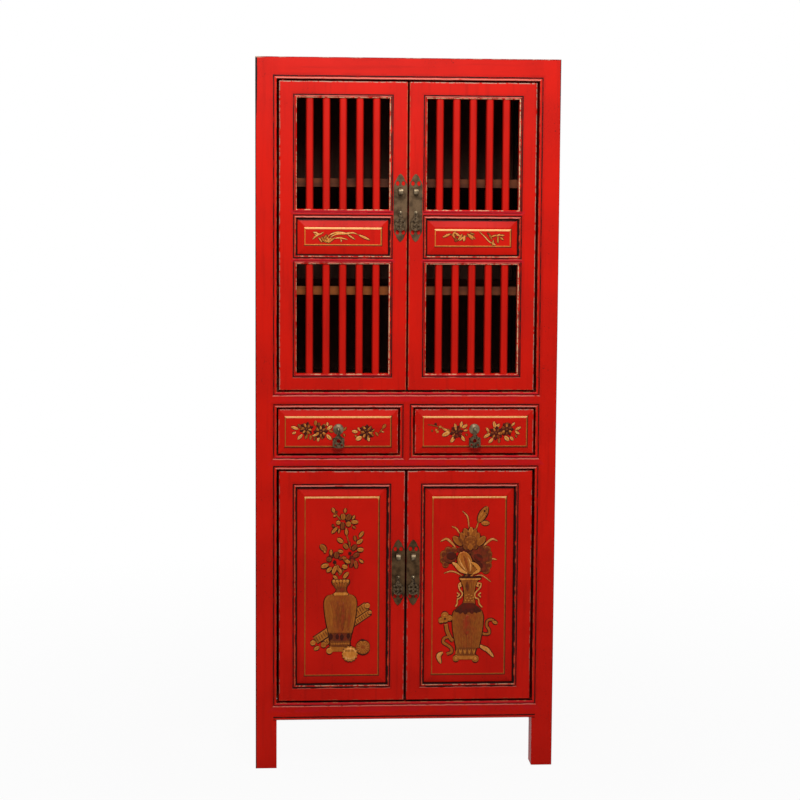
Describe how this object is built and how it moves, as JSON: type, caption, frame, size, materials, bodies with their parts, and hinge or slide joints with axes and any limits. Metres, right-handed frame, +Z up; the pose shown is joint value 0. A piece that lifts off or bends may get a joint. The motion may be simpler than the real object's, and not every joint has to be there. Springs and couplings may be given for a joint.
{
  "type": "shelved cabinet with slatted doors",
  "caption": "Tall red lacquered cabinet on square legs: slatted doors over shelves, drawers below them, then panelled doors, all with brass lock plates and hanging pulls.",
  "frame": {"origin": "on the floor, in the middle of the overall box, fittings included", "axes": "+X to the right as seen from the front, the doors face -Y, +Z up"},
  "size_m": [0.8, 0.5776, 1.89],
  "materials": {
    "red_lacquer": "worn red lacquer with gilt lines",
    "inner_timber": "bare dark timber",
    "aged_brass": "aged"
  },
  "bodies": {
    "carcass": {"back_panels": "inner_timber", "base_board": "inner_timber", "bottom_front_rail": "red_lacquer", "cupboard_floor": "inner_timber", "drawer_bottom_rail": "red_lacquer", "drawer_divider": "red_lacquer", "drawer_runners": "inner_timber", "drawer_top_rail": "red_lacquer", "front_left_post": "red_lacquer", "front_right_post": "red_lacquer", "left_side_panels": "red_lacquer", "left_side_rails": "red_lacquer", "rear_left_post": "red_lacquer", "rear_rails": "red_lacquer", "rear_right_post": "red_lacquer", "right_side_panels": "red_lacquer", "right_side_rails": "red_lacquer", "shelf_cleats": "inner_timber", "shelves": "inner_timber", "top_battens": "inner_timber", "top_front_rail": "red_lacquer", "top_panel": "red_lacquer"},
    "left_drawer": {"left_drawer_box": "inner_timber", "left_drawer_front": "red_lacquer", "left_drawer_rosette": "aged_brass"},
    "left_drawer_pull": {"left_drawer_pull": "aged_brass"},
    "lower_left_door": {"lower_left_door_hinge_stile": "red_lacquer", "lower_left_door_lock_fittings": "aged_brass", "lower_left_door_lock_plate": "aged_brass", "lower_left_door_meeting_stile": "red_lacquer", "lower_left_door_panel": "red_lacquer", "lower_left_door_rails": "red_lacquer"},
    "lower_left_door_pull": {"lower_left_door_pull": "aged_brass"},
    "lower_right_door": {"lower_right_door_hinge_stile": "red_lacquer", "lower_right_door_lock_fittings": "aged_brass", "lower_right_door_lock_plate": "aged_brass", "lower_right_door_meeting_stile": "red_lacquer", "lower_right_door_panel": "red_lacquer", "lower_right_door_rails": "red_lacquer"},
    "lower_right_door_pull": {"lower_right_door_pull": "aged_brass"},
    "right_drawer": {"right_drawer_box": "inner_timber", "right_drawer_front": "red_lacquer", "right_drawer_rosette": "aged_brass"},
    "right_drawer_pull": {"right_drawer_pull": "aged_brass"},
    "upper_left_door": {"upper_left_door_hinge_stile": "red_lacquer", "upper_left_door_lock_fittings": "aged_brass", "upper_left_door_lock_plate": "aged_brass", "upper_left_door_meeting_stile": "red_lacquer", "upper_left_door_panel": "red_lacquer", "upper_left_door_rails": "red_lacquer", "upper_left_door_slats": "red_lacquer"},
    "upper_left_door_pull": {"upper_left_door_pull": "aged_brass"},
    "upper_right_door": {"upper_right_door_hinge_stile": "red_lacquer", "upper_right_door_lock_fittings": "aged_brass", "upper_right_door_lock_plate": "aged_brass", "upper_right_door_meeting_stile": "red_lacquer", "upper_right_door_panel": "red_lacquer", "upper_right_door_rails": "red_lacquer", "upper_right_door_slats": "red_lacquer"},
    "upper_right_door_pull": {"upper_right_door_pull": "aged_brass"}
  },
  "joints": [
    {"name": "upper_left_door_hinge", "type": "hinge", "parent": "carcass", "child": "upper_left_door", "pos_m": [-0.328, -0.2572, 1.02], "axis": [0, 0, -1], "range_deg": [0, 100]},
    {"name": "upper_right_door_hinge", "type": "hinge", "parent": "carcass", "child": "upper_right_door", "pos_m": [0.328, -0.2572, 1.02], "axis": [0, 0, 1], "range_deg": [0, 100]},
    {"name": "lower_left_door_hinge", "type": "hinge", "parent": "carcass", "child": "lower_left_door", "pos_m": [-0.328, -0.2572, 0.183], "axis": [0, 0, -1], "range_deg": [0, 100]},
    {"name": "lower_right_door_hinge", "type": "hinge", "parent": "carcass", "child": "lower_right_door", "pos_m": [0.328, -0.2572, 0.183], "axis": [0, 0, 1], "range_deg": [0, 100]},
    {"name": "left_drawer_slide", "type": "slide", "parent": "carcass", "child": "left_drawer", "axis": [0, -1, 0], "range_m": [0, 0.36]},
    {"name": "right_drawer_slide", "type": "slide", "parent": "carcass", "child": "right_drawer", "axis": [0, -1, 0], "range_m": [0, 0.36]},
    {"name": "upper_left_door_pull_swing", "type": "hinge", "parent": "upper_left_door", "child": "upper_left_door_pull", "pos_m": [-0.02025, -0.2772, 1.489], "axis": [-1, 0, 0], "range_deg": [-3, 80]},
    {"name": "upper_right_door_pull_swing", "type": "hinge", "parent": "upper_right_door", "child": "upper_right_door_pull", "pos_m": [0.02025, -0.2772, 1.489], "axis": [-1, 0, 0], "range_deg": [-3, 80]},
    {"name": "lower_left_door_pull_swing", "type": "hinge", "parent": "lower_left_door", "child": "lower_left_door_pull", "pos_m": [-0.02025, -0.2772, 0.519], "axis": [-1, 0, 0], "range_deg": [-3, 80]},
    {"name": "lower_right_door_pull_swing", "type": "hinge", "parent": "lower_right_door", "child": "lower_right_door_pull", "pos_m": [0.02025, -0.2772, 0.519], "axis": [-1, 0, 0], "range_deg": [-3, 80]},
    {"name": "left_drawer_pull_swing", "type": "hinge", "parent": "left_drawer", "child": "left_drawer_pull", "pos_m": [-0.181, -0.2816, 0.9165], "axis": [-1, 0, 0], "range_deg": [-3, 80]},
    {"name": "right_drawer_pull_swing", "type": "hinge", "parent": "right_drawer", "child": "right_drawer_pull", "pos_m": [0.181, -0.2816, 0.9165], "axis": [-1, 0, 0], "range_deg": [-3, 80]}
  ]
}
